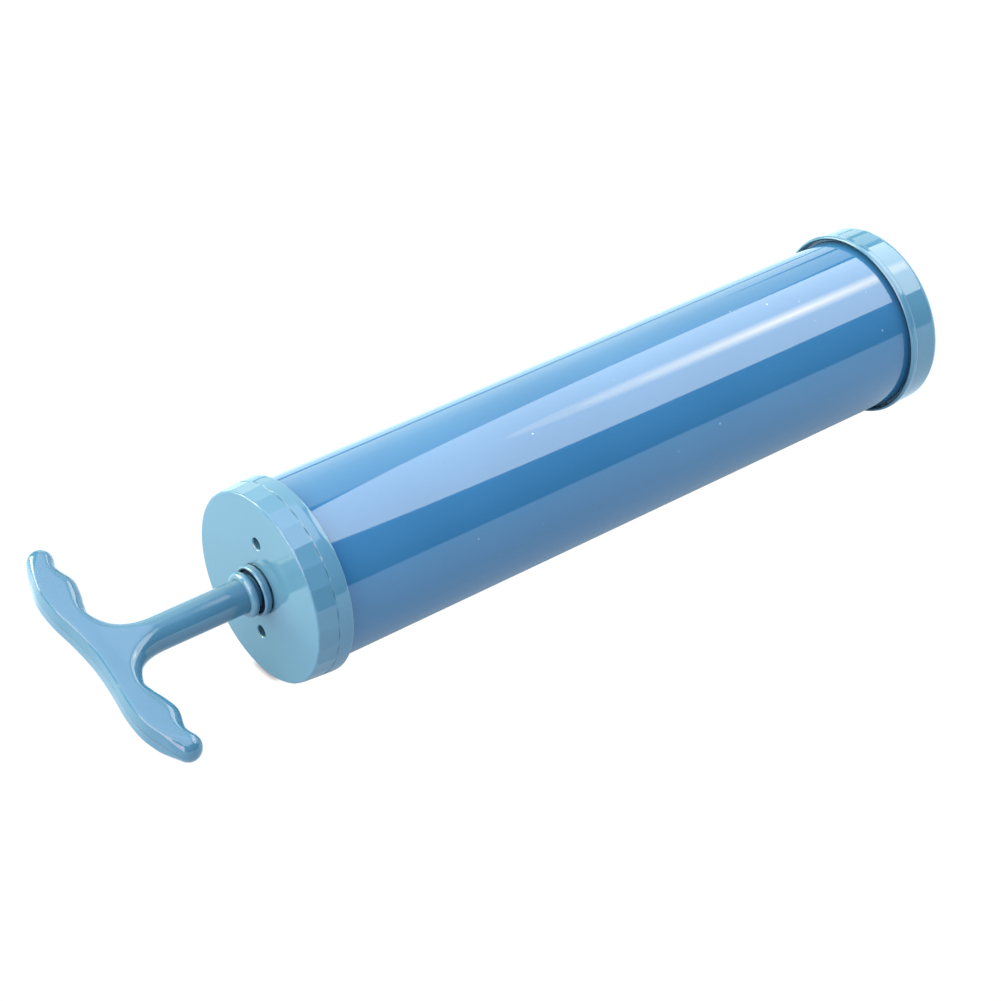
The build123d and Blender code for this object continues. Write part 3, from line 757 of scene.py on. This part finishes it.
class Nodes:
    """A short way to add nodes to a material and join them."""

    def __init__(self, name):
        self.hold(bpy.data.materials.new(name))

    @classmethod
    def of(cls, material):
        """The nodes of a material that exists already."""
        nodes = cls.__new__(cls)
        nodes.hold(material)
        return nodes

    def hold(self, material):
        self.material = material
        self.material.use_nodes = True
        self.tree = self.material.node_tree
        self.shader = self.tree.nodes["Principled BSDF"]
        place = self.add("ShaderNodeTexCoord")
        self.place = place.outputs["Object"]

    def add(self, kind, **values):
        node = self.tree.nodes.new(kind)
        for key, value in values.items():
            setattr(node, key, value)
        return node

    def join(self, output, target):
        self.tree.links.new(output, target)

    def noise(self, period_mm, detail=2.0, roughness=0.5):
        node = self.add("ShaderNodeTexNoise")
        node.inputs["Scale"].default_value = 1 / (period_mm * MM)
        node.inputs["Detail"].default_value = detail
        node.inputs["Roughness"].default_value = roughness
        self.join(self.place, node.inputs["Vector"])
        return node.outputs["Fac"]

    def spread(self, value, low, high, to_low, to_high):
        node = self.add("ShaderNodeMapRange")
        self.join(value, node.inputs["Value"])
        names = ("From Min", "From Max", "To Min", "To Max")
        for name, number in zip(names, (low, high, to_low, to_high)):
            node.inputs[name].default_value = number
        return node.outputs["Result"]

    def blend(self, share, first, second):
        node = self.add("ShaderNodeMix", data_type="RGBA")
        self.join(share, node.inputs["Factor"])
        for socket, value in ((node.inputs[6], first), (node.inputs[7], second)):
            if isinstance(value, bpy.types.NodeSocket):
                self.join(value, socket)
            else:
                socket.default_value = (*value, 1)
        return node.outputs[2]

    def multiply(self, a, b):
        node = self.add("ShaderNodeMath", operation="MULTIPLY")
        self.join(a, node.inputs[0])
        self.join(b, node.inputs[1])
        return node.outputs[0]

    def bump(self, height, depth_mm, below=None):
        node = self.add("ShaderNodeBump")
        node.inputs["Distance"].default_value = depth_mm * MM
        node.inputs["Strength"].default_value = 1.0
        self.join(height, node.inputs["Height"])
        if below is not None:
            self.join(below, node.inputs["Normal"])
        return node.outputs["Normal"]


def specks(nodes, spacing_mm, size_mm, share):
    """A mask with small scattered specks: one in each of a share of the cells."""
    cell = nodes.add("ShaderNodeTexVoronoi", feature="F1")
    cell.inputs["Scale"].default_value = 1 / (spacing_mm * MM)
    nodes.join(nodes.place, cell.inputs["Vector"])
    pick = nodes.add("ShaderNodeSeparateColor")
    nodes.join(cell.outputs["Color"], pick.inputs["Color"])
    near = nodes.spread(cell.outputs["Distance"], 0.0, size_mm / spacing_mm, 1.0, 0.0)
    chosen = nodes.spread(pick.outputs["Red"], 1 - share, 1 - share + 0.001, 0.0, 1.0)
    return nodes.multiply(nodes.multiply(near, chosen), pick.outputs["Green"])


DUST_SIZE = 0.36                # mm, as are all the spacings and periods below
DUST_SPACING = 6.0
PIT_SPACING = 9.0
DRIFT_PERIOD = 45.0
HAZE_PERIOD = 9.0
RIPPLE_PERIOD = 14.0
GRAIN_PERIOD = 0.5
GRAIN_DEPTH = 0.0002
PLASTIC_IOR = 1.5
DUST_COLOUR = (0.80, 0.88, 0.92)
PIT_COLOUR = (0.010, 0.030, 0.060)


def gloss_plastic(name, colour, tint, roughness=0.08, dust=0.0, peel=0.004):
    """Polished moulded plastic: slow colour drift, faint surface ripple, fine handling marks, dust."""
    nodes = Nodes(name)
    drift = nodes.noise(DRIFT_PERIOD, detail=1.0)
    base = nodes.blend(nodes.spread(drift, 0.35, 0.65, 0, 1), colour, tint)
    haze = nodes.noise(HAZE_PERIOD, detail=3.0)
    rough = nodes.spread(haze, 0.3, 0.7, roughness * 0.8, roughness * 1.3)
    if dust:
        mask = specks(nodes, DUST_SPACING, DUST_SIZE, dust)
        base = nodes.blend(mask, base, DUST_COLOUR)
        pits = specks(nodes, PIT_SPACING, DUST_SIZE, dust)
        base = nodes.blend(pits, base, PIT_COLOUR)
    nodes.join(base, nodes.shader.inputs["Base Color"])
    nodes.join(rough, nodes.shader.inputs["Roughness"])
    ripple = nodes.bump(nodes.noise(RIPPLE_PERIOD, detail=1.0), peel)
    grain = nodes.bump(nodes.noise(GRAIN_PERIOD, detail=2.0), GRAIN_DEPTH, ripple)
    nodes.join(grain, nodes.shader.inputs["Normal"])
    nodes.shader.inputs["IOR"].default_value = PLASTIC_IOR
    return nodes.material


# Painted shade: within this reach of its own crevices, a material's colour is darkened towards the shade
# colour below.
CREVICE_REACH = 4.0             # mm
CREVICE_SHADE_COLOUR = (0.006, 0.038, 0.068)


def paint_crevice_shade(material):
    """Paints shade into a material's colour in its own piece's crevices, whatever else is near it."""
    nodes = Nodes.of(material)
    near = nodes.add("ShaderNodeAmbientOcclusion", samples=8, only_local=True)
    near.inputs["Distance"].default_value = CREVICE_REACH * MM
    # How deep the painted shade is, from how closely the piece hems this point in.
    depth = nodes.spread(near.outputs["AO"], 0.2, 0.6, 1.0, 0.0)
    base = nodes.shader.inputs["Base Color"]
    nodes.join(nodes.blend(depth, base.links[0].from_socket, CREVICE_SHADE_COLOUR), base)
    return material


def parting_line(nodes, place):
    """A mask for the thin line that the mould's halves leave along the middle of the handle's palm side."""
    turned = nodes.add("ShaderNodeVectorRotate", rotation_type="X_AXIS")
    turned.inputs["Center"].default_value = (0, 0, AXIS_Z)
    turned.inputs["Angle"].default_value = -HANDLE_TILT
    nodes.join(place, turned.inputs["Vector"])
    axes = nodes.add("ShaderNodeSeparateXYZ")
    nodes.join(turned.outputs["Vector"], axes.inputs["Vector"])
    height = nodes.add("ShaderNodeMath", operation="COMPARE")
    nodes.join(axes.outputs["Z"], height.inputs[0])
    height.inputs[1].default_value = AXIS_Z
    height.inputs[2].default_value = PARTING_WIDTH / 2 * MM
    palm = nodes.spread(axes.outputs["X"], along(PARTING_FROM), along(PARTING_FROM - 1), 0.0, 1.0)
    return nodes.multiply(height.outputs[0], palm)


def handle_plastic():
    """The handle's glossy plastic, with its parting line."""
    material = gloss_plastic("handle_blue", *HANDLE_COLOURS, 0.10, 0.03)
    nodes = Nodes.of(material)
    line = parting_line(nodes, nodes.place)
    base = nodes.shader.inputs["Base Color"]
    plain = base.links[0].from_socket
    dark = tuple(channel * PARTING_SHADE for channel in HANDLE_COLOURS[0])
    nodes.join(nodes.blend(line, plain, dark), base)
    normal = nodes.shader.inputs["Normal"]
    nodes.join(nodes.bump(line, PARTING_HEIGHT, normal.links[0].from_socket), normal)
    return material


def rubber(name, colour, tint):
    """Matt rubber with a fine moulded grain and pale bloom."""
    nodes = Nodes(name)
    bloom = nodes.noise(3.0, detail=4.0)
    nodes.join(nodes.blend(bloom, colour, tint), nodes.shader.inputs["Base Color"])
    nodes.join(nodes.spread(bloom, 0.3, 0.7, 0.55, 0.75), nodes.shader.inputs["Roughness"])
    nodes.join(nodes.bump(nodes.noise(0.4), 0.01), nodes.shader.inputs["Normal"])
    nodes.shader.inputs["Specular IOR Level"].default_value = 0.1
    return nodes.material


def satin_plastic(name, colour, tint):
    """Moulded nylon or acetal: satin, with a fine grain."""
    nodes = Nodes(name)
    cloud = nodes.noise(5.0, detail=3.0)
    nodes.join(nodes.blend(cloud, colour, tint), nodes.shader.inputs["Base Color"])
    nodes.join(nodes.spread(cloud, 0.3, 0.7, 0.32, 0.5), nodes.shader.inputs["Roughness"])
    nodes.join(nodes.bump(nodes.noise(0.3), 0.004), nodes.shader.inputs["Normal"])
    return nodes.material


def plated_steel(name, colour, tint):
    """Plated or drawn steel with faint streaks."""
    nodes = Nodes(name)
    streak = nodes.noise(0.8, detail=4.0)
    nodes.join(nodes.blend(streak, colour, tint), nodes.shader.inputs["Base Color"])
    nodes.join(nodes.spread(streak, 0.3, 0.7, 0.2, 0.4), nodes.shader.inputs["Roughness"])
    nodes.join(nodes.bump(nodes.noise(0.25), 0.002), nodes.shader.inputs["Normal"])
    nodes.shader.inputs["Metallic"].default_value = 1.0
    return nodes.material


HANDLE_COLOURS = ((0.034, 0.112, 0.181), (0.038, 0.119, 0.190))
PARTING_WIDTH = 0.22            # mm
PARTING_SHADE = 0.45
PARTING_HEIGHT = 0.02
PARTING_FROM = -52.5

MATERIALS = {
    "barrel_blue": gloss_plastic("barrel_blue", (0.0215, 0.099, 0.207), (0.0240, 0.106, 0.218), 0.04, 0.38),
    # The cap's colour has painted shade in its vents, grooves and other crevices.
    "cap_teal": paint_crevice_shade(
        gloss_plastic("cap_teal", (0.050, 0.140, 0.216), (0.054, 0.148, 0.226), 0.06, 0.03)
    ),
    "handle_blue": handle_plastic(),
    "black_rubber": rubber("black_rubber", (0.001, 0.010, 0.026), (0.002, 0.014, 0.034)),
    "grey_rubber": rubber("grey_rubber", (0.010, 0.013, 0.017), (0.018, 0.022, 0.028)),
    "acetal": satin_plastic("acetal", (0.70, 0.70, 0.65), (0.76, 0.76, 0.72)),
    "piston_plastic": satin_plastic("piston_plastic", (0.022, 0.028, 0.04), (0.032, 0.038, 0.052)),
    "steel": plated_steel("steel", (0.50, 0.51, 0.53), (0.60, 0.61, 0.62)),
    "spring_steel": plated_steel("spring_steel", (0.42, 0.43, 0.45), (0.52, 0.53, 0.55)),
}


def set_material(obj, material):
    obj.data.materials.clear()
    obj.data.materials.append(material)


# ---------------------------------------------------------------- floor, lights and camera

FLOOR_SIZE = 12.0
FLOOR_SEEN = (1.02, 1.02, 1.02)
FLOOR_MIRRORED = (1.42, 1.74, 1.95)
CONTACT_REACH = 0.0015
SHADE_REACH = 0.12

# How bright each light looks in red, green and blue, where the floor is about 1
SOFTBOX = (4.7, 4.8, 4.7)
CEILING = (3.2, 3.2, 4.0)
LAMP = (1.7, 1.3, 0.6)
BACK_PANEL = (1.7, 1.8, 1.6)
BACK_SLOPE = (1.6, 1.7, 1.4)
RIGHT_WALL = (1.5, 1.6, 1.5)
BACK_LEFT = (12.0, 11.5, 7.5)
LEFT_HIGH = (7.2, 6.4, 4.0)
LEFT_LOW = (7.5, 5.3, 6.0)
ROOM = 0.04
BACKDROP = 1.05                 # the white that the camera sees behind everything
LIGHT_Z = AXIS_Z + 0.9          # height of the level lights
LAMP_Z = AXIS_Z + 0.89
WALL_Z = 0.13                   # where the upright lights start
LAMP_RINGS = 6
LAMP_RING_GAP = 0.001
LAMP_MIDDLE = (0.76, -0.12)
LAMP_SIZE = (0.52, 0.26)
LAMP_TURN = math.radians(-15)
BACK_TURN = math.radians(36)    # the panels behind the softbox follow its edge


def shaded_white(tree, reach, colour):
    """An emission that is darker within reach of the pump."""
    near = tree.nodes.new("ShaderNodeAmbientOcclusion")
    near.inputs["Distance"].default_value = reach
    near.inputs["Color"].default_value = (*colour, 1)
    near.samples = 8
    glow = tree.nodes.new("ShaderNodeEmission")
    tree.links.new(near.outputs["Color"], glow.inputs["Color"])
    return glow


def make_floor():
    """A blown-out white floor that still lights and mirrors like one with the pump's shade on it."""
    mesh = bpy.data.meshes.new("floor")
    half = FLOOR_SIZE / 2
    corners = [(-half, -half, 0), (half, -half, 0), (half, half, 0), (-half, half, 0)]
    mesh.from_pydata(corners, [], [(0, 1, 2, 3)])
    floor = bpy.data.objects.new("floor", mesh)
    bpy.context.scene.collection.objects.link(floor)
    material = bpy.data.materials.new("white_floor")
    material.use_nodes = True
    tree = material.node_tree
    tree.nodes.remove(tree.nodes["Principled BSDF"])
    seen = shaded_white(tree, CONTACT_REACH, FLOOR_SEEN)
    mirrored = shaded_white(tree, SHADE_REACH, FLOOR_MIRRORED)
    path = tree.nodes.new("ShaderNodeLightPath")
    mix = tree.nodes.new("ShaderNodeMixShader")
    tree.links.new(path.outputs["Is Camera Ray"], mix.inputs["Fac"])
    tree.links.new(mirrored.outputs[0], mix.inputs[1])
    tree.links.new(seen.outputs[0], mix.inputs[2])
    tree.links.new(mix.outputs[0], tree.nodes["Material Output"].inputs["Surface"])
    floor.data.materials.append(material)
    return floor


def panel(name, middle, look_at, size, radiance, spread=math.pi):
    """A flat light. radiance is how bright it looks in red, green and blue, where the floor is about 1."""
    light = bpy.data.lights.new(name, "AREA")
    light.shape = "RECTANGLE"
    light.size, light.size_y = size
    light.color = [channel / max(radiance) for channel in radiance]
    light.energy = max(radiance) * size[0] * size[1] * math.pi
    light.spread = spread
    obj = bpy.data.objects.new(name, light)
    bpy.context.scene.collection.objects.link(obj)
    obj.location = middle
    aim = Vector(look_at) - Vector(middle)
    obj.rotation_euler = aim.to_track_quat("-Z", "Y").to_euler()
    obj.visible_camera = False
    return obj


def flat_panel(name, x_range, y_range, z, radiance, shape="RECTANGLE"):
    """A level light above the pump, its edges along and across the barrel."""
    middle = (sum(x_range) / 2, sum(y_range) / 2, z)
    size = (x_range[1] - x_range[0], y_range[1] - y_range[0])
    light = panel(name, middle, (middle[0], middle[1], 0), size, radiance)
    light.rotation_euler = (0, 0, 0)
    light.data.shape = shape
    return light


def wall_panel(name, x_range, y, z_range, radiance):
    """An upright light behind the pump that faces it."""
    middle = (sum(x_range) / 2, y, sum(z_range) / 2)
    size = (x_range[1] - x_range[0], z_range[1] - z_range[0])
    light = panel(name, middle, (middle[0], 0, middle[2]), size, radiance)
    light.rotation_euler = (math.radians(90), 0, math.radians(180))
    return light


def make_lamp():
    """The long lamp in the softbox: ellipses one in another, so that its reflection has soft edges."""
    for number in range(LAMP_RINGS):
        share = (1 - number / LAMP_RINGS) ** 1.5
        half_length, half_width = LAMP_SIZE[0] / 2 * share, LAMP_SIZE[1] / 2 * share
        x_range = (LAMP_MIDDLE[0] - half_length, LAMP_MIDDLE[0] + half_length)
        y_range = (LAMP_MIDDLE[1] - half_width, LAMP_MIDDLE[1] + half_width)
        height = LAMP_Z - number * LAMP_RING_GAP
        ring = flat_panel(f"lamp_{number}", x_range, y_range, height, LAMP, "ELLIPSE")
        ring.rotation_euler.z = LAMP_TURN


def make_lights():
    flat_panel("softbox", (0.30, 1.86), (-0.94, 0.62), LIGHT_Z, SOFTBOX, "DISK")
    flat_panel("ceiling", (-0.95, 0.25), (-0.8, 0.6), LIGHT_Z, CEILING)
    make_lamp()
    slope = flat_panel("back_slope", (-0.24, 2.16), (0.745, 1.445), LIGHT_Z, BACK_SLOPE)
    slope.rotation_euler.z += BACK_TURN
    wall = wall_panel("back_panel", (-0.225, 4.175), 2.265, (WALL_Z, LIGHT_Z), BACK_PANEL)
    wall.rotation_euler.z += BACK_TURN
    panel("right_wall", (2.3, 0.3, 0.62), (0, 0.3, 0.62), (3.0, 1.0), RIGHT_WALL)
    wall_panel("back_left", (-1.6, -0.4), 1.3, (WALL_Z, 1.83), BACK_LEFT)
    panel("left_high", (-1.6, -0.1, 1.2), (0, 0, 0.03), (1.6, 1.0), LEFT_HIGH)
    panel("left_low", (-1.7, -0.1, 0.45), (0, 0, 0.03), (1.6, 0.8), LEFT_LOW)


def make_world():
    world = bpy.data.worlds.new("studio")
    bpy.context.scene.world = world
    world.use_nodes = True
    tree = world.node_tree
    background = tree.nodes["Background"]
    white = tree.nodes.new("ShaderNodeBackground")
    white.inputs["Color"].default_value = (1, 1, 1, 1)
    white.inputs["Strength"].default_value = BACKDROP
    background.inputs["Color"].default_value = (0.9, 0.95, 1.0, 1)
    background.inputs["Strength"].default_value = ROOM
    path = tree.nodes.new("ShaderNodeLightPath")
    mix = tree.nodes.new("ShaderNodeMixShader")
    tree.links.new(path.outputs["Is Camera Ray"], mix.inputs["Fac"])
    tree.links.new(background.outputs[0], mix.inputs[1])
    tree.links.new(white.outputs[0], mix.inputs[2])
    tree.links.new(mix.outputs[0], tree.nodes["World Output"].inputs["Surface"])


CAMERA_LENS = 102.4
CAMERA_AZIMUTH = math.radians(-38.47)
CAMERA_ELEVATION = math.radians(34.766)
CAMERA_DISTANCE = 0.8666
CAMERA_TARGET = (-0.0204, -0.0087)


def make_camera():
    camera = bpy.data.objects.new("camera", bpy.data.cameras.new("camera"))
    bpy.context.scene.collection.objects.link(camera)
    camera.data.lens = CAMERA_LENS
    camera.data.sensor_width = 36
    back = Vector((
        math.sin(CAMERA_AZIMUTH) * math.cos(CAMERA_ELEVATION),
        -math.cos(CAMERA_AZIMUTH) * math.cos(CAMERA_ELEVATION),
        math.sin(CAMERA_ELEVATION),
    ))
    target = Vector((*CAMERA_TARGET, AXIS_Z))
    camera.location = target + back * CAMERA_DISTANCE
    camera.rotation_mode = "QUATERNION"
    camera.rotation_quaternion = (-back).to_track_quat("-Z", "Y")
    camera.data.clip_start = 0.01
    camera.data.clip_end = 50
    bpy.context.scene.camera = camera


# ---------------------------------------------------------------- put together

made = [make_tube(), make_top_cap(), make_base_cap(), make_bush(), make_wiper(), make_stop_ring()]
made.append(make_nozzle())
made.append(make_handle())
for obj in made:
    set_material(obj, MATERIALS[obj["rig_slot"]])
for part in frame["record"]["subparts"]:
    node = frame["nodes"][part["node"]]
    set_material(node, MATERIALS[part["material_slot"]])

make_floor()
make_lights()
make_world()
make_camera()
bpy.context.scene.view_settings.view_transform = "Standard"
